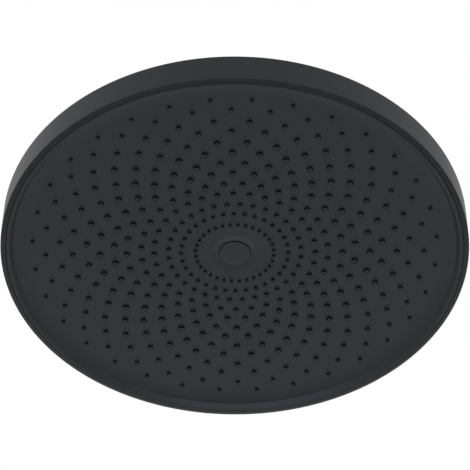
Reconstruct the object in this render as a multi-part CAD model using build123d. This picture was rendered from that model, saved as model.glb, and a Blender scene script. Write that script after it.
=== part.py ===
from build123d import *
import os
from math import acos, atan, cos, degrees, pi, radians, sin, sqrt

# A round rain shower head that hangs face down from a ball joint.
# Millimetres, +Z up, origin at the middle of the threaded inlet's mouth.

# Head
HEAD_DIAMETER = 260.0
SIDE_HEIGHT = 19.0
SIDE_DRAFT = 0.3
SHELL_WALL = 2.85
BACK_WALL = 2.4
BACK_RISE = 7.5
HUB_HEIGHT = 3.0
HUB_MARGIN = 4.0
HUB_PLATE = 3.2
LEDGE_WIDTH = 1.3
BACK_EDGE_ROUND = 0.6
RIM_RISE = 0.7
RIM_ROUND = 0.4
RIB_COUNT = 8
RIB_THICKNESS = 2.0
RIB_END_MARGIN = 3.0

# Spray face
FACE_RECESS = 3.85
FACE_THICKNESS = 2.4
RIM_GAP = 0.3
LIP_WIDTH = 1.8
LIP_CHAMFER = 0.15
COVE_WIDTH = 2.2
DISH_WIDTH = 8.35
DISH_DROP = 0.75

# Nozzles, in as many staggered rings as the flat of the face takes
NOZZLES_PER_RING = 32
FIRST_RING_RADIUS = 21.85
RING_PAIR_PITCH = 15.08
RING_PAIR_OFFSET = 8.02
NOZZLE_LARGEST = 4.1
NOZZLE_SMALLEST = 1.95
LARGEST_AT_RADIUS = 70.0
NOZZLE_SIZE_POWER = 1.5
NOZZLE_TIP_SHARE = 0.9
NOZZLE_HEIGHT = 1.35
NOZZLE_SIDES = 6

# Centre fixing
CAP_DIAMETER = 17.5
CAP_GAP = 0.15
CAP_THICKNESS = 1.6
CAP_CHAMFER = 0.25
CAP_LEDGE = 1.35
CAP_SKIRT_WALL = 1.2
CAP_SKIRT_HEIGHT = 1.8
COUNTERSINK_WIDTH = 4.5
COUNTERSINK_DEPTH = 0.75
CUP_WALL = 1.8
CUP_FLOOR = 1.4
CENTRE_SCREW_DIAMETER = 4.0
CENTRE_HEAD_DIAMETER = 8.4
CENTRE_HEAD_HEIGHT = 1.6
CENTRE_HEAD_GAP = 0.2
CENTRE_SEAL_DIAMETER = 10.0
CENTRE_SEAL_THICKNESS = 0.6
CENTRE_SCREW_GRIP = 5.0
POST_WALL = 2.4
POST_CROWN = 1.5

# Water chamber
CHAMBER_PLATE_THICKNESS = 2.2
CHAMBER_PLATE_GAP = 1.0
CHAMBER_WALL = 3.0
CHAMBER_WALL_MARGIN = 2.4
GASKET_THICKNESS = 1.2
SCREW_COUNT = 8
SCREW_DIAMETER = 3.0
SCREW_HEAD_DIAMETER = 5.4
SCREW_HEAD_HEIGHT = 1.6
SCREW_HEAD_GAP = 0.7
SCREW_BOSS_WALL = 1.6
SCREW_BOSS_MARGIN = 0.6
SCREW_HOLE_SPARE = 0.6
SPOKE_COUNT = 3
SPOKE_WIDTH = 3.0

# Spigot that clamps the shell to the chamber plate
STEM_DIAMETER = 24.0
STEM_BORE = 13.0
BOSS_WALL = 3.5
FLANGE_THICKNESS = 3.0
FLANGE_MARGIN = 2.0
FLANGE_CHAMFER = 0.8
SPIGOT_WALL = 2.3
SPIGOT_SEAL_WIDTH = 2.4
SPIGOT_SEAL_THICKNESS = 1.6

# Ball joint
BALL_DIAMETER = 20.0
NECK_DIAMETER = 11.0
WATERWAY = 7.0
TILT_LIMIT = 15.0
BALL_FLAT_ANGLE = 53.0
SLIP_RING_WALL = 1.6
SLIP_RING_LOW_ANGLE = 9.0
SEAL_TOP_ANGLE = 14.0
SEAL_BOTTOM_ANGLE = 45.0
SEAL_BASE = 1.2
NUT_WALL = 3.0
NUT_LIP = 1.6
NUT_SKIRT = 10.0
NUT_SHOULDER_DROP = 1.2
NUT_CHAMFER = 1.5
NUT_FLAT_DEPTH = 1.2

# Inlet, with a parallel half-inch pipe thread drawn at its crests
THREAD_DIAMETER = 18.63
THREAD_LENGTH = 10.0
RELIEF_DIAMETER = 21.6
HEX_ACROSS_FLATS = 27.0
HEX_FLOOR = 1.5
HEX_CORNER_TRIM = 0.9
WASHER_THICKNESS = 2.4
WASHER_WIDTH = 3.8
MESH_THICKNESS = 0.6
MESH_GRIP = 1.0
REGULATOR_DIAMETER = 12.0
REGULATOR_HEIGHT = 4.4
REGULATOR_WALL = 1.0
REGULATOR_FLOOR = 1.2
REGULATOR_CORE = 2.6
REGULATOR_HOLES = 6
REGULATOR_HOLE = 1.2
REGULATOR_HOLE_CIRCLE = 5.0
REGULATOR_RING_WIDTH = 1.4
REGULATOR_RING_HEIGHT = 1.6

# Clearances
RUNNING_GAP = 0.1
THREAD_GAP = 0.1
SEAT_GAP = 0.2
LOOSE_GAP = 0.3
TILT_CLEARANCE = 0.5

# Radii and angles that follow in the ball joint
ball_radius = BALL_DIAMETER / 2
neck_radius = NECK_DIAMETER / 2
socket_radius = ball_radius + RUNNING_GAP
slip_radius = socket_radius + SLIP_RING_WALL
bowl_radius = slip_radius + RUNNING_GAP
full_tilt = acos(cos(radians(TILT_LIMIT)) ** 2)
mouth_angle = acos((neck_radius + TILT_CLEARANCE) / bowl_radius) - full_tilt
slip_top_angle = acos((neck_radius + TILT_CLEARANCE) / socket_radius) - radians(TILT_LIMIT)
spigot_radius = bowl_radius + SPIGOT_WALL
nut_radius = spigot_radius + THREAD_GAP + NUT_WALL
flange_radius = nut_radius + FLANGE_MARGIN
nut_top = bowl_radius * sin(mouth_angle) + NUT_LIP
nut_reach = nut_top * cos(full_tilt) + (nut_radius - NUT_CHAMFER) * sin(full_tilt)

# Levels from the inlet down to the rim
relief_z = -THREAD_LENGTH - WASHER_THICKNESS - SEAT_GAP
pocket_z = relief_z - REGULATOR_HEIGHT - SEAT_GAP
hex_z = pocket_z - HEX_FLOOR
ball_z = hex_z - nut_reach - TILT_CLEARANCE
seal_bore_radius = socket_radius * cos(radians(SEAL_BOTTOM_ANGLE))
seal_top_z = ball_z - socket_radius * sin(radians(SEAL_TOP_ANGLE))
seal_bottom_z = ball_z - socket_radius * sin(radians(SEAL_BOTTOM_ANGLE)) - SEAL_BASE
shoulder_z = ball_z - NUT_SHOULDER_DROP
spigot_top_z = shoulder_z - LOOSE_GAP
nut_bottom_z = shoulder_z - NUT_SKIRT
flange_top_z = nut_bottom_z - LOOSE_GAP
hub_z = flange_top_z - FLANGE_THICKNESS
socket_z = hub_z - HUB_PLATE
dome_z = hub_z - HUB_HEIGHT
back_z = dome_z - BACK_RISE
rim_z = back_z - SIDE_HEIGHT
face_z = rim_z + FACE_RECESS
plate_top_z = face_z + FACE_THICKNESS
ledge_z = face_z + CAP_THICKNESS
recess_z = ledge_z + CENTRE_HEAD_GAP + CENTRE_HEAD_HEIGHT + CENTRE_SEAL_THICKNESS
cup_top_z = recess_z + CUP_FLOOR

# Radii that follow in the head
rim_radius = HEAD_DIAMETER / 2
back_radius = rim_radius - SIDE_DRAFT
shell_mouth_radius = rim_radius - SHELL_WALL
shell_inner_radius = shell_mouth_radius - LEDGE_WIDTH
plate_radius = shell_mouth_radius - RIM_GAP
lip_radius = plate_radius - LIP_WIDTH
cove_radius = lip_radius - COVE_WIDTH
dish_radius = cove_radius - DISH_WIDTH
hub_radius = flange_radius + HUB_MARGIN
hub_base_radius = hub_radius + HUB_HEIGHT
stem_radius = STEM_DIAMETER / 2
boss_radius = stem_radius + THREAD_GAP + BOSS_WALL
window_radius = stem_radius - SPIGOT_SEAL_WIDTH
cap_radius = CAP_DIAMETER / 2
recess_radius = cap_radius + CAP_GAP
skirt_radius = recess_radius - CAP_LEDGE
post_radius = CENTRE_SCREW_DIAMETER / 2 + RUNNING_GAP + POST_WALL
cover_radius = shell_inner_radius - CHAMBER_PLATE_GAP
screw_boss_radius = SCREW_DIAMETER / 2 + RUNNING_GAP + SCREW_BOSS_WALL
screw_circle_radius = cover_radius - SCREW_BOSS_MARGIN - screw_boss_radius
wall_outer_radius = screw_circle_radius - screw_boss_radius
wall_inner_radius = wall_outer_radius - CHAMBER_WALL
field_radius = min(wall_inner_radius - CHAMBER_WALL_MARGIN, dish_radius - NOZZLE_LARGEST / 2)


def dome_level(radius):
    """Height of the back's shallow dome, which is part of a large ball."""
    dome_radius = (rim_radius ** 2 + BACK_RISE ** 2) / (2 * BACK_RISE)
    return dome_z - dome_radius + sqrt(dome_radius ** 2 - radius ** 2)


# Levels of the water chamber, whose screws stand just under the dome
screw_head_z = dome_level(screw_circle_radius + SCREW_HEAD_DIAMETER / 2) - BACK_WALL - SCREW_HEAD_GAP
cover_top_z = screw_head_z - SCREW_HEAD_HEIGHT
chamber_z = cover_top_z - CHAMBER_PLATE_THICKNESS
stem_end_z = cover_top_z + SPIGOT_SEAL_THICKNESS


def ring_radii():
    """Radii of the nozzle rings, which come in pairs, from the inside out."""
    radii = []
    pair = FIRST_RING_RADIUS
    while pair <= field_radius:
        radii.append(pair)
        if pair + RING_PAIR_OFFSET <= field_radius:
            radii.append(pair + RING_PAIR_OFFSET)
        pair += RING_PAIR_PITCH
    return radii


def disc(radius, low, high):
    """A round bar on the centre line between two levels."""
    return Pos(0, 0, low) * Cylinder(radius, high - low, align=(Align.CENTER, Align.CENTER, Align.MIN))


def tube(outer, inner, low, high):
    return disc(outer, low, high) - disc(inner, low, high)


def turned(*edges):
    """Closes the edges of a half section, in radius and height, and turns it about the centre line."""
    return revolve(Plane.XZ * make_face(Sketch() + list(edges)), Axis.Z)


def around(piece, radius, count, first_angle=0.0):
    """Copies of a piece, evenly spaced on a circle about the centre line."""
    spacing = 360 / count
    return [Rot(0, 0, first_angle + spacing * i) * Pos(radius, 0, 0) * piece for i in range(count)]


def dome_arc(outer, inner, depth):
    """The dome's section between two radii, at a depth under its outside."""
    middle = (outer + inner) / 2
    return ThreePointArc(*[(radius, dome_level(radius) - depth) for radius in (outer, middle, inner)])


def rear_shell():
    """Moulded back and side wall, with a hub for the spigot and ribs over the chamber plate."""
    outer = dome_arc(back_radius, hub_base_radius, 0)
    inner = dome_arc(shell_inner_radius, boss_radius + LOOSE_GAP, BACK_WALL)
    profile = make_face(
        Sketch()
        + [
            Polyline(inner @ 0, (shell_inner_radius, plate_top_z), (shell_mouth_radius, plate_top_z)),
            Polyline(
                (shell_mouth_radius, plate_top_z),
                (shell_mouth_radius, rim_z),
                (rim_radius, rim_z + RIM_RISE),
                outer @ 0,
            ),
            outer,
            Polyline(outer @ 1, (hub_radius, hub_z), (stem_radius + LOOSE_GAP, hub_z)),
            Polyline(
                (stem_radius + LOOSE_GAP, hub_z),
                (stem_radius + LOOSE_GAP, socket_z),
                (boss_radius + LOOSE_GAP, socket_z),
                inner @ 1,
            ),
            inner,
        ]
    )
    back_edge = profile.vertices().sort_by_distance(outer @ 0)[0]
    profile = fillet(back_edge, BACK_EDGE_ROUND)
    rim_edge = profile.vertices().sort_by_distance((rim_radius, rim_z + RIM_RISE))[0]
    shell = revolve(Plane.XZ * fillet(rim_edge, RIM_ROUND), Axis.Z)

    rib_start = boss_radius + RIB_END_MARGIN
    rib_end = wall_inner_radius - RIB_END_MARGIN
    crest = dome_arc(rib_end, rib_start, BACK_WALL / 2)
    foot_z = cover_top_z + LOOSE_GAP
    under_dome = turned(crest, Polyline(crest @ 1, (rib_start, foot_z), (rib_end, foot_z), crest @ 0))
    bar = Pos(0, 0, cover_top_z) * Box(
        2 * rib_end, RIB_THICKNESS, dome_z - cover_top_z, align=(Align.MIN, Align.CENTER, Align.MIN)
    )
    ribs = [under_dome & blade for blade in around(bar, 0, RIB_COUNT)]
    return shell.fuse(*[rib.solid() for rib in ribs])


def nozzle(radius):
    """A tapered spray nub for the ring of that radius, which stands on the face."""
    reach = max(LARGEST_AT_RADIUS - FIRST_RING_RADIUS, field_radius - LARGEST_AT_RADIUS)
    offset = abs(radius - LARGEST_AT_RADIUS) / reach
    base = NOZZLE_LARGEST - (NOZZLE_LARGEST - NOZZLE_SMALLEST) * offset ** NOZZLE_SIZE_POWER
    slope = base / 2 * (1 - NOZZLE_TIP_SHARE) * cos(pi / NOZZLE_SIDES) / NOZZLE_HEIGHT
    foot = Plane((0, 0, face_z), z_dir=(0, 0, -1))
    nub = extrude(foot * RegularPolygon(base / 2, NOZZLE_SIDES), NOZZLE_HEIGHT)
    sides = nub.faces().filter_by(Axis.Z, reverse=True)
    return draft(sides, foot, degrees(atan(slope)))


def spray_plate():
    """Face of the head: a dished plate in a sloped lip, with all its nozzles and a cup for the fixing."""
    dish = RadiusArc(
        (cove_radius, face_z - DISH_DROP),
        (dish_radius, face_z),
        (DISH_WIDTH ** 2 + DISH_DROP ** 2) / (2 * DISH_DROP),
    )
    shank_hole = CENTRE_SCREW_DIAMETER / 2 + RUNNING_GAP
    cup_radius = recess_radius + CUP_WALL
    plate = turned(
        dish,
        Polyline(
            (dish_radius, face_z),
            (recess_radius + COUNTERSINK_WIDTH, face_z),
            (recess_radius, face_z + COUNTERSINK_DEPTH),
            (recess_radius, ledge_z),
            (skirt_radius, ledge_z),
            (skirt_radius, recess_z),
            (shank_hole, recess_z),
            (shank_hole, cup_top_z),
            (cup_radius, cup_top_z),
            (cup_radius, plate_top_z),
            (wall_inner_radius, plate_top_z),
            (wall_inner_radius, chamber_z - GASKET_THICKNESS),
            (wall_outer_radius, chamber_z - GASKET_THICKNESS),
            (wall_outer_radius, plate_top_z),
            (plate_radius, plate_top_z),
            (plate_radius, rim_z + LIP_CHAMFER),
            (plate_radius - LIP_CHAMFER, rim_z),
            (lip_radius, rim_z),
            (cove_radius, face_z - DISH_DROP),
        ),
    )
    boss = disc(screw_boss_radius, face_z + FACE_THICKNESS / 2, chamber_z)
    hole = disc(SCREW_DIAMETER / 2 + RUNNING_GAP, plate_top_z - SCREW_HOLE_SPARE, chamber_z)
    half_pitch = 180 / SCREW_COUNT
    bosses = around(boss, screw_circle_radius, SCREW_COUNT, half_pitch)
    holes = around(hole, screw_circle_radius, SCREW_COUNT, half_pitch)
    nozzles = []
    for ring, radius in enumerate(ring_radii()):
        stagger = 0 if ring % 2 else 180 / NOZZLES_PER_RING
        nozzles += around(nozzle(radius), radius, NOZZLES_PER_RING, stagger)
    return plate.fuse(*bosses).cut(*holes).fuse(*nozzles, glue=True)


def centre_cap():
    """Snap-in cover over the centre screw, with a skirt that grips the recess."""
    outer = skirt_radius - RUNNING_GAP
    skirt = tube(outer, outer - CAP_SKIRT_WALL, ledge_z, ledge_z + CAP_SKIRT_HEIGHT)
    cap = turned(
        Polyline(
            (0, face_z),
            (cap_radius - CAP_CHAMFER, face_z),
            (cap_radius, face_z + CAP_CHAMFER),
            (cap_radius, ledge_z),
            (0, ledge_z),
            (0, face_z),
        )
    )
    return cap + skirt


def centre_screw():
    """Screw that ties the middle of the face to the chamber plate's post."""
    head_z = recess_z - CENTRE_SEAL_THICKNESS
    head = disc(CENTRE_HEAD_DIAMETER / 2, head_z - CENTRE_HEAD_HEIGHT, head_z)
    shank = disc(CENTRE_SCREW_DIAMETER / 2, head_z, cup_top_z + CENTRE_SCREW_GRIP)
    return head + shank


def centre_seal():
    """Washer under the centre screw's head."""
    bore = CENTRE_SCREW_DIAMETER / 2 + RUNNING_GAP
    return tube(CENTRE_SEAL_DIAMETER / 2, bore, recess_z - CENTRE_SEAL_THICKNESS, recess_z)


def chamber_gasket():
    """Flat ring that seals the water chamber's edge."""
    return tube(wall_outer_radius, wall_inner_radius, chamber_z - GASKET_THICKNESS, chamber_z)


def chamber_plate():
    """Roof of the water chamber, with a threaded boss over a spoked inlet and a post for the screw."""
    roof = disc(cover_radius, chamber_z, cover_top_z)
    boss = tube(boss_radius, stem_radius + THREAD_GAP, cover_top_z, socket_z)
    spoke = Pos(0, 0, chamber_z) * Box(
        window_radius + SPIGOT_SEAL_WIDTH / 2,
        SPOKE_WIDTH,
        CHAMBER_PLATE_THICKNESS,
        align=(Align.MIN, Align.CENTER, Align.MIN),
    )
    post = disc(post_radius, cup_top_z, cup_top_z + CENTRE_SCREW_GRIP + POST_CROWN)
    window = disc(window_radius, chamber_z, cover_top_z)
    shank_hole = disc(CENTRE_SCREW_DIAMETER / 2 + RUNNING_GAP, cup_top_z, cup_top_z + CENTRE_SCREW_GRIP)
    screw_hole = disc(SCREW_DIAMETER / 2 + RUNNING_GAP, chamber_z, cover_top_z)
    holes = around(screw_hole, screw_circle_radius, SCREW_COUNT, 180 / SCREW_COUNT)
    plate = (roof - window).fuse(boss, post, *around(spoke, 0, SPOKE_COUNT))
    return plate.cut(shank_hole, *holes)


def chamber_screws():
    """Pan-head screws from the chamber plate into the face's bosses."""
    head = disc(SCREW_HEAD_DIAMETER / 2, cover_top_z, screw_head_z)
    shank = disc(SCREW_DIAMETER / 2, plate_top_z, cover_top_z)
    return Compound(children=around(head + shank, screw_circle_radius, SCREW_COUNT, 180 / SCREW_COUNT))


def spigot():
    """Brass spigot: its stem screws into the chamber plate and its flange holds the shell down."""
    thread = disc(spigot_radius, flange_top_z, spigot_top_z)
    flange = turned(
        Polyline(
            (0, hub_z),
            (flange_radius, hub_z),
            (flange_radius, flange_top_z - FLANGE_CHAMFER),
            (flange_radius - FLANGE_CHAMFER, flange_top_z),
            (0, flange_top_z),
            (0, hub_z),
        )
    )
    stem = disc(stem_radius, stem_end_z, hub_z)
    bore = disc(STEM_BORE / 2, stem_end_z, spigot_top_z)
    seat = disc(bowl_radius, seal_bottom_z, spigot_top_z)
    return thread + flange + stem - bore - seat


def spigot_seal():
    """Washer between the spigot's end and the chamber plate."""
    return tube(stem_radius - RUNNING_GAP, window_radius, cover_top_z, stem_end_z)


def ball_seal():
    """Soft seat under the ball, in the spigot's counterbore."""
    ring = tube(bowl_radius - RUNNING_GAP, seal_bore_radius, seal_bottom_z, seal_top_z)
    return ring - Pos(0, 0, ball_z) * Sphere(socket_radius)


def slip_ring():
    """Thin ring of hard plastic that lies round the ball inside the nut's bowl."""
    low = radians(SLIP_RING_LOW_ANGLE)
    high = slip_top_angle
    middle = (low + high) / 2

    def at(radius, angle):
        return (radius * cos(angle), ball_z + radius * sin(angle))

    return turned(
        ThreePointArc(at(slip_radius, low), at(slip_radius, middle), at(slip_radius, high)),
        Line(at(slip_radius, high), at(socket_radius, high)),
        ThreePointArc(at(socket_radius, high), at(socket_radius, middle), at(socket_radius, low)),
        Line(at(socket_radius, low), at(slip_radius, low)),
    )


def collar_nut():
    """Collar that screws on the spigot and traps the ball, with two spanner flats."""
    top_z = ball_z + nut_top
    body = turned(
        Polyline(
            (0, nut_bottom_z),
            (nut_radius, nut_bottom_z),
            (nut_radius, top_z - NUT_CHAMFER),
            (nut_radius - NUT_CHAMFER, top_z),
            (0, top_z),
            (0, nut_bottom_z),
        )
    )
    thread = disc(spigot_radius + THREAD_GAP, nut_bottom_z, shoulder_z)
    bowl = Pos(0, 0, ball_z) * Sphere(bowl_radius)
    mouth_radius = bowl_radius * cos(mouth_angle)
    mouth = Pos(0, 0, top_z) * Cone(
        mouth_radius, mouth_radius + NUT_LIP, NUT_LIP, align=(Align.CENTER, Align.CENTER, Align.MAX)
    )
    half_width = nut_radius - NUT_FLAT_DEPTH
    flat = Pos(half_width, 0, nut_bottom_z) * Box(
        nut_radius, 2 * nut_radius, top_z - nut_bottom_z, align=(Align.MIN, Align.CENTER, Align.MIN)
    )
    return body - thread - bowl - mouth - around(flat, 0, 2)


def ball_connector():
    """Brass inlet: a hexagon with the pipe thread, a neck and the ball, bored through for water."""
    hexagon = Plane((0, 0, hex_z)) * RegularPolygon(HEX_ACROSS_FLATS / 2, 6, major_radius=False)
    corner = HEX_ACROSS_FLATS / 2 / cos(pi / 6)
    trim = HEX_CORNER_TRIM / 2
    blank = turned(
        Polyline(
            (0, hex_z),
            (corner - HEX_CORNER_TRIM, hex_z),
            (corner, hex_z + trim),
            (corner, -trim),
            (corner - HEX_CORNER_TRIM, 0),
            (0, 0),
            (0, hex_z),
        )
    )
    ball_low_z = ball_z - ball_radius * sin(radians(BALL_FLAT_ANGLE))
    ball = Pos(0, 0, ball_z) * Sphere(ball_radius) & disc(BALL_DIAMETER, ball_low_z, hex_z)
    solid = (extrude(hexagon, -hex_z) & blank) + disc(neck_radius, ball_z, hex_z) + ball
    return solid.cut(
        disc(THREAD_DIAMETER / 2, -THREAD_LENGTH, 0),
        disc(RELIEF_DIAMETER / 2, relief_z, -THREAD_LENGTH),
        disc(REGULATOR_DIAMETER / 2 + RUNNING_GAP, pocket_z, relief_z),
        disc(WATERWAY / 2, ball_low_z, pocket_z),
    )


def washer_groove():
    """The space in the inlet washer that holds the mesh by its edge."""
    washer_radius = RELIEF_DIAMETER / 2 - SEAT_GAP
    mesh_radius = washer_radius - WASHER_WIDTH + MESH_GRIP
    low = relief_z + (WASHER_THICKNESS - MESH_THICKNESS) / 2
    return disc(mesh_radius, low, low + MESH_THICKNESS)


def inlet_washer():
    """Rubber washer that the arm's end presses on."""
    outer = RELIEF_DIAMETER / 2 - SEAT_GAP
    ring = tube(outer, outer - WASHER_WIDTH, relief_z, relief_z + WASHER_THICKNESS)
    return ring - washer_groove()


def inlet_filter():
    """Wire mesh disc across the inlet, held in the washer's groove."""
    return washer_groove()


def flow_regulator():
    """Moulded cup with a core and a circle of holes, in the pocket under the washer."""
    outer = REGULATOR_DIAMETER / 2
    floor_top = pocket_z + REGULATOR_FLOOR
    cup = disc(outer, pocket_z, pocket_z + REGULATOR_HEIGHT)
    space = tube(outer - REGULATOR_WALL, REGULATOR_CORE / 2, floor_top, pocket_z + REGULATOR_HEIGHT)
    hole = disc(REGULATOR_HOLE / 2, pocket_z, floor_top)
    return cup.cut(space, *around(hole, REGULATOR_HOLE_CIRCLE / 2, REGULATOR_HOLES))


def regulator_ring():
    """Rubber ring round the regulator's core, which narrows the holes as pressure rises."""
    inner = REGULATOR_CORE / 2 + RUNNING_GAP
    low = pocket_z + REGULATOR_FLOOR
    return tube(inner + REGULATOR_RING_WIDTH, inner, low, low + REGULATOR_RING_HEIGHT)


PIECES = {
    "ball_connector": ball_connector,
    "inlet_washer": inlet_washer,
    "inlet_filter": inlet_filter,
    "flow_regulator": flow_regulator,
    "regulator_ring": regulator_ring,
    "slip_ring": slip_ring,
    "ball_seal": ball_seal,
    "collar_nut": collar_nut,
    "spigot": spigot,
    "spigot_seal": spigot_seal,
    "rear_shell": rear_shell,
    "chamber_plate": chamber_plate,
    "chamber_gasket": chamber_gasket,
    "chamber_screws": chamber_screws,
    "spray_plate": spray_plate,
    "centre_screw": centre_screw,
    "centre_seal": centre_seal,
    "centre_cap": centre_cap,
}

os.makedirs("parts", exist_ok=True)
for name, make in PIECES.items():
    export_step(make(), f"parts/{name}.step")
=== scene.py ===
import bmesh
import bpy
from math import asin, atan, atan2, cos, hypot, pi, radians, remainder, sin, sqrt, tau
from mathutils import Matrix, Vector


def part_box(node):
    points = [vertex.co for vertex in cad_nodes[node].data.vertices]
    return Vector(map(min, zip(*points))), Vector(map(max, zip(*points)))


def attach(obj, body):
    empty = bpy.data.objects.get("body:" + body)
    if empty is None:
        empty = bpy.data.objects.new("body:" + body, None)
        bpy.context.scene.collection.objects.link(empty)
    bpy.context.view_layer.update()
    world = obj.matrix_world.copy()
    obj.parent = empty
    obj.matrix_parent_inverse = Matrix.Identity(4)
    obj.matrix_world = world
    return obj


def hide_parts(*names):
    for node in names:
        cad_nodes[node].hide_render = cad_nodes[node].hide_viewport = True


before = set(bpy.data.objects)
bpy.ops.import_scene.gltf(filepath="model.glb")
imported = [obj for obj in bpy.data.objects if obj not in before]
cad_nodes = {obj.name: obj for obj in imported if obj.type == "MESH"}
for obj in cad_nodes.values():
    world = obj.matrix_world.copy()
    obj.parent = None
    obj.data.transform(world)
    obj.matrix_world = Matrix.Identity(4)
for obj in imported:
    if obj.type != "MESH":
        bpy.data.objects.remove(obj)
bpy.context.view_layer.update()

# Spray face
# The dished black face of the head is one stiff plastic moulding with a lip round its edge.
# It closes the water chamber: a wall, eight screw bosses and a cup for the fixing stand on its back.
rim_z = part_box("spray_plate")[0].z
gasket_low_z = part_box("chamber_gasket")[0].z
chamber_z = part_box("chamber_gasket")[1].z
face_recess = 0.00385
face_z = rim_z + face_recess
plate_thickness = 0.0024
plate_top_z = face_z + plate_thickness
plate_radius = 0.12685
plate_edge = 0.00012
chamber_wall_outside = 0.11785
chamber_wall_inside = 0.11485
cup_outside = 0.0107
cup_inside = 0.00755
cup_depth = 0.0040
cup_roof = 0.0014
cup_floor_z = face_z + cup_depth
cup_top_z = cup_floor_z + cup_roof
screw_hole_radius = 0.0021
cap_ledge_depth = 0.0016
cap_ledge_z = face_z + cap_ledge_depth
cap_recess_radius = 0.0089
cap_recess_edge = 0.00015
hollow_radius = 0.0134
hollow_depth = 0.00075
hollow_rounding = 0.0006
dish_turn_radius = 0.11867
dish_turn_length = 0.0040
dish_edge_radius = 0.12285
dish_depth = 0.00075
dish_edge_z = face_z - dish_depth
dish_edge_rounding = 0.0016
lip_radius = 0.12505
lip_rounding = 0.0005


def half_section(corners, arcs=()):
    """Closed wire of a turned piece.

    A corner is (radius, height) or (radius, height, rounding).
    Arcs give, by the number of the corner that starts a round stretch, the height of its centre.
    """
    bm = bmesh.new()
    points = [bm.verts.new((corner[0], 0, corner[1])) for corner in corners]
    for index, point in enumerate(points):
        following = points[(index + 1) % len(points)]
        if index in arcs:
            centre = Vector((0, 0, arcs[index]))
            start, end = point.co - centre, following.co - centre
            swing = atan2(end.x, end.z) - atan2(start.x, start.z)
            swept = bmesh.ops.spin(bm, geom=[point], cent=centre, axis=(0, 1, 0), angle=swing, steps=20)
            last = [item for item in swept["geom_last"] if isinstance(item, bmesh.types.BMVert)]
            bmesh.ops.weld_verts(bm, targetmap={last[0]: following})
        else:
            bm.edges.new((point, following))
    for point, corner in zip(points, corners):
        if len(corner) > 2:
            bmesh.ops.bevel(
                bm, geom=[point], offset=corner[2], offset_type="OFFSET", segments=5, profile=0.5,
                affect="VERTICES", material=-1, clamp_overlap=True,
            )
    return bm


def turn(bm, steps, centre=(0, 0, 0)):
    """Spins a half section once round an upright axis into a closed solid."""
    bmesh.ops.spin(
        bm, geom=bm.verts[:] + bm.edges[:], cent=centre, axis=(0, 0, 1), angle=tau, steps=steps,
        use_merge=True,
    )
    bmesh.ops.remove_doubles(bm, verts=bm.verts[:], dist=1e-7)
    axis_edges = [edge for edge in bm.edges if not edge.link_faces]
    bmesh.ops.delete(bm, geom=axis_edges, context="EDGES")
    bmesh.ops.recalc_face_normals(bm, faces=bm.faces[:])
    return bm


def repeat_round(bm, count):
    """Copies all of a mesh round the centre line, evenly spaced."""
    bmesh.ops.spin(
        bm, geom=bm.verts[:] + bm.edges[:] + bm.faces[:], cent=(0, 0, 0), axis=(0, 0, 1),
        angle=tau * (count - 1) / count, steps=count - 1, use_duplicate=True,
    )
    return bm


def add_mesh(bm, extra):
    """Takes the mesh of another bmesh in as separate shells."""
    carrier = bpy.data.meshes.new("carrier")
    extra.to_mesh(carrier)
    extra.free()
    bm.from_mesh(carrier)
    bpy.data.meshes.remove(carrier)


def make_piece(name, bm, material):
    """An object at the origin with smooth faces, creased where they meet at a sharp angle."""
    crease = radians(35)
    mesh = bpy.data.meshes.new(name)
    bm.to_mesh(mesh)
    bm.free()
    mesh.shade_smooth()
    mesh.set_sharp_from_angle(angle=crease)
    mesh.materials.append(material)
    piece = bpy.data.objects.new(name, mesh)
    bpy.context.scene.collection.objects.link(piece)
    flats = piece.modifiers.new("flat faces stay flat", "WEIGHTED_NORMAL")
    flats.keep_sharp = True
    return piece


def moulded(name, colour, roughness, specular, grain, relief, drift=0.10, sheen=(1, 1, 1)):
    """A moulded surface with a fine etched grain, whose colour and gloss drift a little over it."""
    gloss_drift = 0.03
    material = bpy.data.materials.new(name)
    material.use_nodes = True
    nodes, links = material.node_tree.nodes, material.node_tree.links
    shader = nodes["Principled BSDF"]
    shader.inputs["Specular IOR Level"].default_value = specular
    shader.inputs["Specular Tint"].default_value = (*sheen, 1)
    place = nodes.new("ShaderNodeTexCoord")
    cloud = nodes.new("ShaderNodeTexNoise")
    cloud.inputs["Scale"].default_value = 30
    cloud.inputs["Detail"].default_value = 3
    tint = nodes.new("ShaderNodeValToRGB")
    tint.color_ramp.elements[0].position = 0.3
    tint.color_ramp.elements[0].color = [channel * (1 - drift) for channel in colour] + [1]
    tint.color_ramp.elements[1].position = 0.7
    tint.color_ramp.elements[1].color = [channel * (1 + drift) for channel in colour] + [1]
    gloss = nodes.new("ShaderNodeMapRange")
    gloss.inputs["To Min"].default_value = roughness - gloss_drift
    gloss.inputs["To Max"].default_value = roughness + gloss_drift
    etch = nodes.new("ShaderNodeTexNoise")
    etch.inputs["Scale"].default_value = 1 / grain
    etch.inputs["Detail"].default_value = 2
    bump = nodes.new("ShaderNodeBump")
    bump.inputs["Strength"].default_value = 0.35
    bump.inputs["Distance"].default_value = relief
    links.new(place.outputs["Object"], cloud.inputs["Vector"])
    links.new(place.outputs["Object"], etch.inputs["Vector"])
    links.new(cloud.outputs["Fac"], tint.inputs["Fac"])
    links.new(cloud.outputs["Fac"], gloss.inputs["Value"])
    links.new(tint.outputs["Color"], shader.inputs["Base Color"])
    links.new(gloss.outputs["Result"], shader.inputs["Roughness"])
    links.new(etch.outputs["Fac"], bump.inputs["Height"])
    links.new(bump.outputs["Normal"], shader.inputs["Normal"])
    return material


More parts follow.
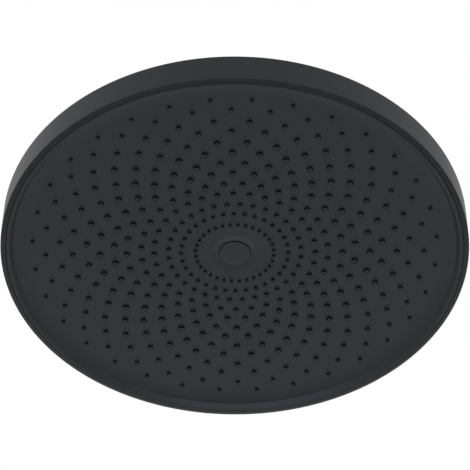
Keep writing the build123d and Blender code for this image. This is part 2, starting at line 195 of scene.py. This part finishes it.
face_plan = half_section([
    (plate_radius, rim_z, plate_edge),
    (plate_radius, plate_top_z),
    (chamber_wall_outside, plate_top_z),
    (chamber_wall_outside, gasket_low_z),
    (chamber_wall_inside, gasket_low_z),
    (chamber_wall_inside, plate_top_z),
    (cup_outside, plate_top_z),
    (cup_outside, cup_top_z),
    (screw_hole_radius, cup_top_z),
    (screw_hole_radius, cup_floor_z),
    (cup_inside, cup_floor_z),
    (cup_inside, cap_ledge_z),
    (cap_recess_radius, cap_ledge_z),
    (cap_recess_radius, face_z + hollow_depth, cap_recess_edge),
    (hollow_radius, face_z, hollow_rounding),
    (dish_turn_radius, face_z, dish_turn_length),
    (dish_edge_radius, dish_edge_z, dish_edge_rounding),
    (lip_radius, rim_z, lip_rounding),
])
face_mesh = turn(face_plan, steps=192)
boss_count = 8
boss_circle = 0.12105
boss_radius = 0.0032
boss_hole = 0.0016
boss_sink = 0.0006
boss_foot_z = plate_top_z - boss_sink
boss_plan = half_section([
    (boss_circle + boss_hole, boss_foot_z),
    (boss_circle + boss_radius, boss_foot_z),
    (boss_circle + boss_radius, chamber_z),
    (boss_circle + boss_hole, chamber_z),
])
boss = turn(boss_plan, steps=24, centre=(boss_circle, 0, 0))
between_ribs = Matrix.Rotation(pi / boss_count, 3, "Z")
bmesh.ops.rotate(boss, verts=boss.verts[:], cent=(0, 0, 0), matrix=between_ribs)
add_mesh(face_mesh, repeat_round(boss, boss_count))
cool_sheen = (0.83, 0.87, 1.0)
face_black = moulded(
    "satin_black_face", colour=(0.0042, 0.0045, 0.0060), roughness=0.42, specular=0.385,
    grain=0.00035, relief=0.000012, sheen=cool_sheen,
)
spray_face = make_piece("spray_face", face_mesh, face_black)
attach(spray_face, "head")
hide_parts("spray_plate")

# Spray nozzles
# Rings of soft silicone nubs, moulded into the face from behind as its second shot.
# They are largest half way out, and each has a fine orifice in its blunt tip.
ring_count = 13
nozzles_per_ring = 32
first_ring_radius = 0.02185
ring_pair_pitch = 0.01508
pair_spacing = 0.00802
largest_at = 0.070
largest_width = 0.0041
narrowing = 0.00215
nozzle_height = 0.00135
nozzle_sink = 0.0003
nozzle_foot_z = face_z + nozzle_sink
nozzle_tip_z = face_z - nozzle_height
tip_share = 0.90
tip_edge = 0.0001
orifice_share = 0.2
nozzle_mesh = bmesh.new()
for ring in range(ring_count):
    ring_radius = first_ring_radius + ring_pair_pitch * (ring // 2) + pair_spacing * (ring % 2)
    from_largest = abs(ring_radius - largest_at) / (largest_at - first_ring_radius)
    foot = (largest_width - narrowing * from_largest ** 1.5) / 2
    tip = foot * tip_share
    orifice = foot * orifice_share
    orifice_depth = orifice * 3
    nub_plan = half_section([
        (0, nozzle_foot_z),
        (foot, nozzle_foot_z),
        (tip, nozzle_tip_z + tip_edge),
        (tip - tip_edge, nozzle_tip_z),
        (orifice, nozzle_tip_z),
        (0, nozzle_tip_z + orifice_depth),
    ])
    nub = turn(nub_plan, steps=12)
    bmesh.ops.translate(nub, verts=nub.verts[:], vec=(ring_radius, 0, 0))
    half_step = 0 if ring % 2 else pi / nozzles_per_ring
    stagger = Matrix.Rotation(half_step, 3, "Z")
    bmesh.ops.rotate(nub, verts=nub.verts[:], cent=(0, 0, 0), matrix=stagger)
    add_mesh(nozzle_mesh, repeat_round(nub, nozzles_per_ring))
# The nubs are silicone. Their colour and gloss are set darker and duller than the face's, which is painted
# shade: it deepens the dark marks on the nubs' sides.
nozzle_black_with_painted_shade = moulded(
    "soft_black_silicone_with_painted_shade", colour=(0.0018, 0.0019, 0.0024), roughness=0.42, specular=0.34,
    grain=0.0003, relief=0.000008, sheen=cool_sheen,
)
spray_nozzles = make_piece("spray_nozzles", nozzle_mesh, nozzle_black_with_painted_shade)
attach(spray_nozzles, "head")
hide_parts("spray_plate")

# Centre fixing
# A steel screw with a rubber washer ties the middle of the face to the chamber's roof.
# A snap-in cap of the face's own plastic hides it: a slightly crowned disc with a short skirt.


def metal(name, colour, roughness, scratch):
    """Bare metal with fine turning marks round the upright axis, and a slightly uneven polish."""
    gloss_drift = 0.08
    material = bpy.data.materials.new(name)
    material.use_nodes = True
    nodes, links = material.node_tree.nodes, material.node_tree.links
    shader = nodes["Principled BSDF"]
    shader.inputs["Metallic"].default_value = 1
    shader.inputs["Base Color"].default_value = (*colour, 1)
    place = nodes.new("ShaderNodeTexCoord")
    stretch = nodes.new("ShaderNodeMapping")
    stretch.inputs["Scale"].default_value = (1, 1, 12)
    marks = nodes.new("ShaderNodeTexNoise")
    marks.inputs["Scale"].default_value = 1 / scratch
    marks.inputs["Detail"].default_value = 4
    gloss = nodes.new("ShaderNodeMapRange")
    gloss.inputs["To Min"].default_value = roughness - gloss_drift
    gloss.inputs["To Max"].default_value = roughness + gloss_drift
    bump = nodes.new("ShaderNodeBump")
    bump.inputs["Strength"].default_value = 0.3
    bump.inputs["Distance"].default_value = 0.00001
    links.new(place.outputs["Object"], stretch.inputs["Vector"])
    links.new(stretch.outputs["Vector"], marks.inputs["Vector"])
    links.new(marks.outputs["Fac"], gloss.inputs["Value"])
    links.new(gloss.outputs["Result"], shader.inputs["Roughness"])
    links.new(marks.outputs["Fac"], bump.inputs["Height"])
    links.new(bump.outputs["Normal"], shader.inputs["Normal"])
    return material


def dress(node, material):
    """Gives a CAD node its finish."""
    mesh = cad_nodes[node].data
    mesh.materials.clear()
    mesh.materials.append(material)


def thread_ridge(root, crest, pitch, top_z, length):
    """A right-hand thread down from a level, on a bar or in a bore, that runs out at both ends."""
    crest_start, crest_end = 0.42, 0.58
    steps_per_turn = 36
    run_out = 0.3
    foot_gap = pitch * 0.02
    foot_sink = (crest - root) * 0.2
    foot = root - foot_sink
    turns = int(length / pitch) - 1
    bm = bmesh.new()
    profile = bm.faces.new([
        bm.verts.new((foot, 0, top_z - foot_gap)),
        bm.verts.new((crest, 0, top_z - pitch * crest_start)),
        bm.verts.new((crest, 0, top_z - pitch * crest_end)),
        bm.verts.new((foot, 0, top_z - pitch + foot_gap)),
    ])
    bmesh.ops.spin(
        bm, geom=[profile], cent=(0, 0, 0), axis=(0, 0, 1), angle=-tau * turns,
        dvec=(0, 0, -pitch / steps_per_turn), steps=steps_per_turn * turns,
    )
    bmesh.ops.holes_fill(bm, edges=bm.edges[:])
    for point in bm.verts:
        radius = hypot(point.co.x, point.co.y)
        if (radius - root) * (crest - root) > 0:
            turned = (top_z - point.co.z) / pitch
            from_end = min(turned - crest_end, turns + crest_start - turned)
            share = max(0, min(1, from_end / run_out))
            stretch = (root + (crest - root) * share) / radius
            bmesh.ops.scale(bm, verts=[point], vec=(stretch, stretch, 1))
    bmesh.ops.recalc_face_normals(bm, faces=bm.faces[:])
    return bm


def pan_screw(head_radius, head_height, shank_radius, shank_length, pitch):
    """A pan-head screw that points down from the origin, with a crossed recess and a coarse thread."""
    crown_radius = head_radius * 0.8
    head_edge = head_height * 0.1
    recess_radius = head_radius * 0.55
    recess_floor = recess_radius * 0.8
    recess_z = head_height * 0.4
    arm_half_width = 0.22
    core_radius = shank_radius * 0.72
    slack = 1e-6
    screw = turn(half_section([
        (0, recess_z),
        (recess_floor, recess_z),
        (recess_radius, head_height),
        (crown_radius, head_height, head_edge),
        (head_radius, head_height / 2, head_edge),
        (head_radius, 0),
        (core_radius, 0),
        (core_radius, core_radius - shank_length),
        (0, -shank_length),
    ]), steps=48)
    for point in screw.verts:
        if point.co.z > recess_z - slack and hypot(point.co.x, point.co.y) < recess_radius + slack:
            off_arm = abs(remainder(atan2(point.co.y, point.co.x), pi / 2))
            drawn_in = arm_half_width / max(arm_half_width, sin(off_arm))
            bmesh.ops.scale(screw, verts=[point], vec=(drawn_in, drawn_in, 1))
    add_mesh(screw, thread_ridge(core_radius, shank_radius, pitch, -pitch / 2, shank_length - core_radius))
    return screw


screw_steel = metal("stainless_steel", colour=(0.60, 0.59, 0.57), roughness=0.3, scratch=0.0006)
seal_rubber = moulded(
    "seal_rubber", colour=(0.018, 0.018, 0.019), roughness=0.62, specular=0.4, grain=0.0005,
    relief=0.00002,
)
screw_head_height = 0.0016
centre_low, centre_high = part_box("centre_screw")
centre_head_z = centre_low.z + screw_head_height
centre_mesh = pan_screw(
    head_radius=0.0042, head_height=screw_head_height, shank_radius=0.0020,
    shank_length=centre_high.z - centre_head_z, pitch=0.0014,
)
head_down = Matrix.Rotation(pi, 3, "X")
bmesh.ops.rotate(centre_mesh, verts=centre_mesh.verts[:], cent=(0, 0, 0), matrix=head_down)
bmesh.ops.translate(centre_mesh, verts=centre_mesh.verts[:], vec=(0, 0, centre_head_z))
centre_screw = make_piece("centre_pan_screw", centre_mesh, screw_steel)
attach(centre_screw, "head")
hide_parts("centre_screw")
dress("centre_seal", seal_rubber)

cap_radius = 0.00875
cap_crown_radius = 0.0086
cap_rise = 0.00025
cap_proud = 0.0001
cap_chamfer = 0.00015
cap_rounding = 0.00008
cap_crown_z = face_z - cap_proud
cap_edge_z = cap_crown_z + cap_rise
cap_side_z = cap_edge_z + cap_chamfer
cap_ball = (cap_crown_radius ** 2 + cap_rise ** 2) / (2 * cap_rise)
skirt_outside = 0.00745
skirt_inside = 0.00625
skirt_length = 0.0018
skirt_end_z = cap_ledge_z + skirt_length
cap_plan = half_section([
    (0, cap_crown_z),
    (cap_crown_radius, cap_edge_z, cap_rounding),
    (cap_radius, cap_side_z, cap_rounding),
    (cap_radius, cap_ledge_z),
    (skirt_outside, cap_ledge_z),
    (skirt_outside, skirt_end_z),
    (skirt_inside, skirt_end_z),
    (skirt_inside, cap_ledge_z),
    (0, cap_ledge_z),
], arcs={0: cap_crown_z + cap_ball})
centre_cap = make_piece("centre_cap_cover", turn(cap_plan, steps=96), face_black)
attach(centre_cap, "head")
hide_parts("centre_cap")

# Water chamber
# A grey moulded plate roofs the chamber over a flat rubber gasket.
# Eight small steel screws pull it down on the face's bosses.
chamber_grey = moulded(
    "chamber_grey_plastic", colour=(0.12, 0.12, 0.13), roughness=0.45, specular=0.5, grain=0.0005,
    relief=0.00002,
)
dress("chamber_plate", chamber_grey)
dress("chamber_gasket", seal_rubber)
screws_low, screws_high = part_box("chamber_screws")
chamber_top_z = screws_high.z - screw_head_height
screw_mesh = pan_screw(
    head_radius=0.0027, head_height=screw_head_height, shank_radius=0.0015,
    shank_length=chamber_top_z - screws_low.z, pitch=0.0011,
)
bmesh.ops.translate(screw_mesh, verts=screw_mesh.verts[:], vec=(boss_circle, 0, chamber_top_z))
bmesh.ops.rotate(screw_mesh, verts=screw_mesh.verts[:], cent=(0, 0, 0), matrix=between_ribs)
chamber_screws = make_piece("chamber_pan_screws", repeat_round(screw_mesh, boss_count), screw_steel)
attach(chamber_screws, "head")
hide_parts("chamber_screws")

# Rear shell
# The back and side wall are one satin black moulding: a shallow dome that ends in a raised hub.
# It drops over the chamber, its wall stands round the face's lip, and ribs stiffen it inside.
hub_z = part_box("rear_shell")[1].z
hub_radius = 0.0232
hub_rounding = 0.0006
hub_foot_radius = 0.0262
hub_foot_rounding = 0.0008
hub_bore = 0.0123
hub_roof = 0.0032
hub_roof_z = hub_z - hub_roof
hub_height = 0.003
socket_radius = 0.0159
dome_apex_z = hub_z - hub_height
dome_rise = 0.0075
back_wall = 0.0024
back_radius = 0.1297
back_rounding = 0.0006
rim_radius = 0.130
rim_bevel = 0.0007
rim_rounding = 0.0003
side_inside = 0.12585
lip_socket = 0.12715
lip_socket_edge = 0.0001
dome_ball = (rim_radius ** 2 + dome_rise ** 2) / (2 * dome_rise)
dome_centre_z = dome_apex_z - dome_ball


def dome_level(radius):
    """Height of the dome's outside."""
    return dome_centre_z + sqrt(dome_ball ** 2 - radius ** 2)


shell_plan = half_section([
    (back_radius, dome_level(back_radius), back_rounding),
    (hub_foot_radius, dome_level(hub_foot_radius), hub_foot_rounding),
    (hub_radius, hub_z, hub_rounding),
    (hub_bore, hub_z),
    (hub_bore, hub_roof_z),
    (socket_radius, hub_roof_z),
    (socket_radius, dome_level(socket_radius) - back_wall),
    (side_inside, dome_level(side_inside) - back_wall),
    (side_inside, plate_top_z),
    (lip_socket, plate_top_z),
    (lip_socket, rim_z, lip_socket_edge),
    (rim_radius, rim_z + rim_bevel, rim_rounding),
], arcs={0: dome_centre_z, 6: dome_centre_z - back_wall})
shell_mesh = turn(shell_plan, steps=192)
rib_count = 8
rib_thickness = 0.002
rib_inside = 0.0186
rib_middle = 0.0656
rib_outside = 0.11185
rib_clearance = 0.0003
rib_foot_z = chamber_top_z + rib_clearance
rib_points = [(rib_inside, rib_foot_z), (rib_outside, rib_foot_z)]
for radius in (rib_outside, rib_middle, rib_inside):
    rib_points.append((radius, dome_level(radius) - back_wall / 2))
rib = bmesh.new()
rib_near = [rib.verts.new((radius, -rib_thickness / 2, height)) for radius, height in rib_points]
rib_side = rib.faces.new(rib_near)
rib_depth = bmesh.ops.extrude_face_region(rib, geom=[rib_side])
rib_far = [item for item in rib_depth["geom"] if isinstance(item, bmesh.types.BMVert)]
bmesh.ops.translate(rib, verts=rib_far, vec=(0, rib_thickness, 0))
bmesh.ops.recalc_face_normals(rib, faces=rib.faces[:])
add_mesh(shell_mesh, repeat_round(rib, rib_count))
shell_black = moulded(
    "satin_black_shell", colour=(0.0042, 0.0045, 0.0060), roughness=0.48, specular=0.285,
    grain=0.00035, relief=0.000012, sheen=cool_sheen,
)
rear_shell = make_piece("back_shell", shell_mesh, shell_black)
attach(rear_shell, "head")
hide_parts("rear_shell")

# Spigot
# A turned brass spigot screws into the chamber's roof, and its flange holds the shell down.
# It is coated black like the shell; a rubber washer seals its lower end.
black_coat = moulded(
    "matte_black_coat", colour=(0.0062, 0.0062, 0.0066), roughness=0.36, specular=0.45, grain=0.0008,
    relief=0.000015,
)
spigot_low_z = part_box("spigot")[0].z
spigot_high_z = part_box("spigot")[1].z
spigot_crest, spigot_root = 0.0141, 0.0133
spigot_pitch = 0.0015
spigot_edge = 0.0003
spigot_waterway = 0.0065
stem_crest, stem_root = 0.0120, 0.0112
flange_radius = 0.0192
flange_thickness = 0.003
flange_z = hub_z + flange_thickness
flange_rounding = 0.0008
seat_bore = 0.0118
seat_gap = 0.00002
seat_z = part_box("ball_seal")[0].z - seat_gap
spigot_plan = half_section([
    (spigot_waterway, spigot_low_z),
    (stem_root, spigot_low_z),
    (stem_root, hub_roof_z),
    (stem_crest, hub_roof_z),
    (stem_crest, hub_z),
    (flange_radius, hub_z, spigot_edge),
    (flange_radius, flange_z, flange_rounding),
    (spigot_root, flange_z),
    (spigot_root, spigot_high_z, spigot_edge),
    (seat_bore, spigot_high_z),
    (seat_bore, seat_z),
    (spigot_waterway, seat_z),
])
spigot_mesh = turn(spigot_plan, steps=96)
for root, crest, top_z, low_z in (
    (stem_root, stem_crest, hub_roof_z, spigot_low_z),
    (spigot_root, spigot_crest, spigot_high_z, flange_z),
):
    add_mesh(spigot_mesh, thread_ridge(root, crest, spigot_pitch, top_z, top_z - low_z))
spigot = make_piece("spigot_body", spigot_mesh, black_coat)
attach(spigot, "head")
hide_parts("spigot")
dress("spigot_seal", seal_rubber)

# Ball connector
# The inlet is a brass hexagon with a half-inch pipe thread, a neck and a polished ball, coated black.
# It is turned from hexagon bar, which leaves curved chamfer lines on the flats.
ball_low_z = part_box("ball_connector")[0].z
ball_radius = 0.010
ball_cut = radians(53)
ball_z = ball_low_z + ball_radius * sin(ball_cut)
neck_radius = 0.0055
neck_rounding = 0.0008
neck_end_z = ball_z + sqrt(ball_radius ** 2 - neck_radius ** 2)
waterway_radius = 0.0035
waterway_edge = 0.0003
hex_low_z = -0.0187
hex_half_width = 0.0135
hex_corner_radius = 0.01535
chamfer_radius = 0.0147
chamfer_depth = 0.0004
chamfer_edge = 0.0002
regulator_bore = 0.0061
regulator_floor_z = -0.0172
washer_bore = 0.0108
washer_floor_z = -0.0126
thread_root = 0.01048
thread_crest = 0.009315
thread_pitch = 0.001814
thread_end_z = -0.010
thread_top_z = -0.0008
thread_length = 0.0088
mouth_bevel_radius = 0.0112
mouth_bevel_z = -0.0007
connector_plan = half_section([
    (chamfer_radius, 0, chamfer_edge),
    (hex_corner_radius, -chamfer_depth),
    (hex_corner_radius, hex_low_z + chamfer_depth),
    (chamfer_radius, hex_low_z, chamfer_edge),
    (neck_radius, hex_low_z, neck_rounding),
    (neck_radius, neck_end_z),
    (ball_radius * cos(ball_cut), ball_low_z),
    (waterway_radius, ball_low_z, waterway_edge),
    (waterway_radius, regulator_floor_z),
    (regulator_bore, regulator_floor_z),
    (regulator_bore, washer_floor_z),
    (washer_bore, washer_floor_z),
    (washer_bore, thread_end_z),
    (thread_root, thread_end_z),
    (thread_root, mouth_bevel_z),
    (mouth_bevel_radius, 0),
], arcs={5: ball_z})
connector_mesh = turn(connector_plan, steps=96)


def mill_flat(bm, outward, distance):
    """Cuts a turned piece off flat, square to a direction and at a distance from the centre line."""
    cut = bmesh.ops.bisect_plane(
        bm, geom=bm.verts[:] + bm.edges[:] + bm.faces[:], plane_co=outward * distance, plane_no=outward,
        clear_outer=True,
    )
    edges = [item for item in cut["geom_cut"] if isinstance(item, bmesh.types.BMEdge)]
    bmesh.ops.edgeloop_fill(bm, edges=edges)


for side in range(6):
    facing = radians(30 + 60 * side)
    mill_flat(connector_mesh, Vector((cos(facing), sin(facing), 0)), hex_half_width)
bmesh.ops.recalc_face_normals(connector_mesh, faces=connector_mesh.faces[:])
inlet_thread = thread_ridge(thread_root, thread_crest, thread_pitch, thread_top_z, thread_length)
add_mesh(connector_mesh, inlet_thread)
connector = make_piece("inlet_ball_connector", connector_mesh, black_coat)
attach(connector, "stem")
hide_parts("ball_connector")

# Ball seat and slip ring
# The ball sits on a soft rubber seat, which lies loose in the top of the spigot.
# A thin ring of white acetal lies round the ball, and the collar nut presses on it.
dress("ball_seal", seal_rubber)
acetal = moulded(
    "natural_acetal", colour=(0.74, 0.73, 0.70), roughness=0.4, specular=0.5, grain=0.0006,
    relief=0.00001, drift=0.02,
)
slip_outside = 0.0117
slip_inside = 0.0101
slip_edge = 0.0002
slip_low = radians(9)
slip_high = asin((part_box("slip_ring")[1].z - ball_z) / slip_outside)
slip_corners = (
    (slip_outside, slip_low),
    (slip_outside, slip_high),
    (slip_inside, slip_high),
    (slip_inside, slip_low),
)
slip_plan = half_section([
    (radius * cos(angle), ball_z + radius * sin(angle), slip_edge) for radius, angle in slip_corners
], arcs={0: ball_z, 2: ball_z})
slip_ring = make_piece("acetal_slip_ring", turn(slip_plan, steps=96), acetal)
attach(slip_ring, "slip")
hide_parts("slip_ring")

# Collar nut
# A turned brass nut, coated black, screws on the spigot and traps the ball in its bowl.
# Two flats for a spanner are milled on its sides.
nut_low_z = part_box("collar_nut")[0].z
nut_high_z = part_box("collar_nut")[1].z
nut_radius = 0.0172
nut_chamfer = 0.0015
nut_edge = 0.0004
nut_flat = 0.0160
nut_bore = 0.0142
nut_crest = nut_bore - (spigot_crest - spigot_root)
nut_thread_z = spigot_high_z - spigot_pitch / 2
nut_bore_depth = 0.010
shoulder_z = nut_low_z + nut_bore_depth
bowl_radius = 0.0118
bowl_edge = sqrt(bowl_radius ** 2 - (shoulder_z - ball_z) ** 2)
mouth_flare = 0.0016
mouth_edge = 0.0002
mouth_z = nut_high_z - mouth_flare
mouth_radius = sqrt(bowl_radius ** 2 - (mouth_z - ball_z) ** 2)
nut_plan = half_section([
    (nut_bore, nut_low_z),
    (nut_radius, nut_low_z, nut_edge),
    (nut_radius, nut_high_z - nut_chamfer, nut_edge),
    (nut_radius - nut_chamfer, nut_high_z, nut_edge),
    (mouth_radius + mouth_flare, nut_high_z, mouth_edge),
    (mouth_radius, mouth_z),
    (bowl_edge, shoulder_z),
    (nut_bore, shoulder_z),
], arcs={5: ball_z})
nut_mesh = turn(nut_plan, steps=96)
for direction in (-1, 1):
    mill_flat(nut_mesh, Vector((direction, 0, 0)), nut_flat)
bmesh.ops.recalc_face_normals(nut_mesh, faces=nut_mesh.faces[:])
nut_thread = thread_ridge(nut_bore, nut_crest, spigot_pitch, nut_thread_z, nut_thread_z - nut_low_z)
add_mesh(nut_mesh, nut_thread)
collar_nut = make_piece("ball_collar_nut", nut_mesh, black_coat)
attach(collar_nut, "head")
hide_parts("collar_nut")

# Inlet fittings
# A white acetal flow regulator with its rubber ring lies at the bottom of the inlet.
# Over it comes the rubber washer, which holds a disc of woven stainless wire.
dress("flow_regulator", acetal)
dress("regulator_ring", seal_rubber)
washer_low_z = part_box("inlet_washer")[0].z
washer_high_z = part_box("inlet_washer")[1].z
washer_inside = 0.0068
washer_outside = 0.0106
washer_rounding = 0.0003
filter_low_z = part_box("inlet_filter")[0].z
filter_high_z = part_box("inlet_filter")[1].z
filter_radius = 0.0078
washer_plan = half_section([
    (washer_inside, washer_low_z, washer_rounding),
    (washer_outside, washer_low_z, washer_rounding),
    (washer_outside, washer_high_z, washer_rounding),
    (washer_inside, washer_high_z, washer_rounding),
    (washer_inside, filter_high_z),
    (filter_radius, filter_high_z),
    (filter_radius, filter_low_z),
    (washer_inside, filter_low_z),
])
inlet_washer = make_piece("inlet_washer_ring", turn(washer_plan, steps=96), seal_rubber)
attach(inlet_washer, "stem")
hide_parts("inlet_washer")

filter_rim_inside = 0.0070
filter_rim_edge = 0.0001
filter_rim = half_section([
    (filter_rim_inside, filter_low_z, filter_rim_edge),
    (filter_radius, filter_low_z, filter_rim_edge),
    (filter_radius, filter_high_z, filter_rim_edge),
    (filter_rim_inside, filter_high_z, filter_rim_edge),
])
filter_mesh = turn(filter_rim, steps=96)
filter_middle_z = (filter_low_z + filter_high_z) / 2
wire_radius = 0.00014
wire_pitch = 0.0008
wire_step = wire_pitch / 2
wires_each_side = 8
woven_radius = 0.0074
wire_along_x = Matrix.Rotation(pi / 2, 3, "Y")
quarter_turn = Matrix.Rotation(pi / 2, 3, "Z")
for crossing in (1, -1):
    for row in range(-wires_each_side, wires_each_side + 1):
        offset = row * wire_pitch
        reach = int(sqrt(woven_radius ** 2 - offset ** 2) / wire_pitch * 2)
        first_rise = crossing * (-1) ** row * wire_radius
        levels = [first_rise * cos(pi * place / 2) for place in range(-reach, reach + 1)]
        wire = bmesh.new()
        bmesh.ops.create_circle(wire, cap_ends=False, segments=6, radius=wire_radius)
        bmesh.ops.rotate(wire, verts=wire.verts[:], cent=(0, 0, 0), matrix=wire_along_x)
        wire_start = Vector((-reach * wire_step, offset, filter_middle_z + levels[0]))
        bmesh.ops.translate(wire, verts=wire.verts[:], vec=wire_start)
        end = wire.edges[:]
        for level, following in zip(levels, levels[1:]):
            drawn = bmesh.ops.extrude_edge_only(wire, edges=end)["geom"]
            end = [item for item in drawn if isinstance(item, bmesh.types.BMEdge) and item.is_boundary]
            end_points = [item for item in drawn if isinstance(item, bmesh.types.BMVert)]
            bmesh.ops.translate(wire, verts=end_points, vec=(wire_step, 0, following - level))
        bmesh.ops.holes_fill(wire, edges=wire.edges[:])
        bmesh.ops.recalc_face_normals(wire, faces=wire.faces[:])
        if crossing < 0:
            bmesh.ops.rotate(wire, verts=wire.verts[:], cent=(0, 0, 0), matrix=quarter_turn)
        add_mesh(filter_mesh, wire)
inlet_filter = make_piece("inlet_wire_filter", filter_mesh, screw_steel)
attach(inlet_filter, "stem")
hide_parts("inlet_filter")

# Floor
# A plain round floor, painted pale and matt, as far under the head as a shower floor is.
# The face looks straight down at it and mirrors it.
floor_z = -2.1
floor_radius = 3.0
floor_mesh = bmesh.new()
bmesh.ops.create_circle(floor_mesh, cap_ends=True, segments=96, radius=floor_radius)
bmesh.ops.translate(floor_mesh, verts=floor_mesh.verts[:], vec=(0, 0, floor_z))
floor_paint = moulded(
    "pale_floor", colour=(0.88, 0.88, 0.87), roughness=0.7, specular=0.3, grain=0.004, relief=0.0002,
    drift=0.01,
)
floor = make_piece("floor", floor_mesh, floor_paint)

# Light
# A white room that shows as pure white behind the head and in its gloss.
# Three large soft lamps light the head from above, from behind and, low down, from in front.
world = bpy.data.worlds.new("white_room")
bpy.context.scene.world = world
world.use_nodes = True
room, links = world.node_tree.nodes, world.node_tree.links
background = room["Background"]
background.inputs["Color"].default_value = (1, 1, 1, 1)
ray = room.new("ShaderNodeLightPath")
seen = room.new("ShaderNodeMath")
seen.operation = "MAXIMUM"
shown = room.new("ShaderNodeMath")
shown.operation = "MAXIMUM"
brightness = room.new("ShaderNodeMapRange")
brightness.inputs["To Min"].default_value = 0.9
brightness.inputs["To Max"].default_value = 1.0
links.new(ray.outputs["Is Camera Ray"], seen.inputs[0])
links.new(ray.outputs["Is Glossy Ray"], seen.inputs[1])
links.new(seen.outputs["Value"], shown.inputs[0])
links.new(ray.outputs["Is Transmission Ray"], shown.inputs[1])
links.new(shown.outputs["Value"], brightness.inputs["Value"])
links.new(brightness.outputs["Result"], background.inputs["Strength"])
bpy.context.scene.view_settings.view_transform = "Standard"
face_middle = Vector((0, 0, face_z))


def soft_lamp(name, place, width, height, watts):
    """A large soft lamp that points at the middle of the face."""
    lamp = bpy.data.lights.new(name, "AREA")
    lamp.shape = "RECTANGLE"
    lamp.size = width
    lamp.size_y = height
    lamp.energy = watts
    holder = bpy.data.objects.new(name, lamp)
    holder.location = place
    holder.rotation_mode = "QUATERNION"
    holder.rotation_quaternion = (face_middle - holder.location).to_track_quat("-Z", "Y")
    bpy.context.scene.collection.objects.link(holder)


soft_lamp("lamp_above", place=(-0.5, 0.6, 2.0), width=1.6, height=1.6, watts=6)
soft_lamp("lamp_behind", place=(1.4, 1.6, 0.5), width=1.2, height=1.2, watts=3)
soft_lamp("lamp_front", place=(-0.2, -1.1, -1.25), width=2.4, height=0.9, watts=10.7)

# Camera
# It looks up at the face from in front, as in the photograph, through a long lens.
# Its distance and angles were fitted to the places of the nozzles and the rim there.
photo_side = 470
focal_pixels = 2403.3
camera_distance = 1.3374
camera_azimuth = radians(1.12)
camera_elevation = radians(-45.81)
camera_roll = 0.00303
face_left_of_middle = 0.25
face_below_middle = 18.75
lens = bpy.data.cameras.new("camera")
lens.sensor_width = 36
lens.lens = focal_pixels * lens.sensor_width / photo_side
camera = bpy.data.objects.new("camera", lens)
bpy.context.scene.collection.objects.link(camera)
bpy.context.scene.camera = camera
back = Vector((
    sin(camera_azimuth) * cos(camera_elevation),
    -cos(camera_azimuth) * cos(camera_elevation),
    sin(camera_elevation),
))
aim = (-back).to_track_quat("-Z", "Y").to_matrix()
aim = aim @ Matrix.Rotation(camera_roll, 3, "Z")
aim = aim @ Matrix.Rotation(atan(face_below_middle / focal_pixels), 3, "X")
aim = aim @ Matrix.Rotation(-atan(face_left_of_middle / focal_pixels), 3, "Y")
camera.matrix_world = Matrix.Translation(face_middle + back * camera_distance) @ aim.to_4x4()

bpy.context.view_layer.update()
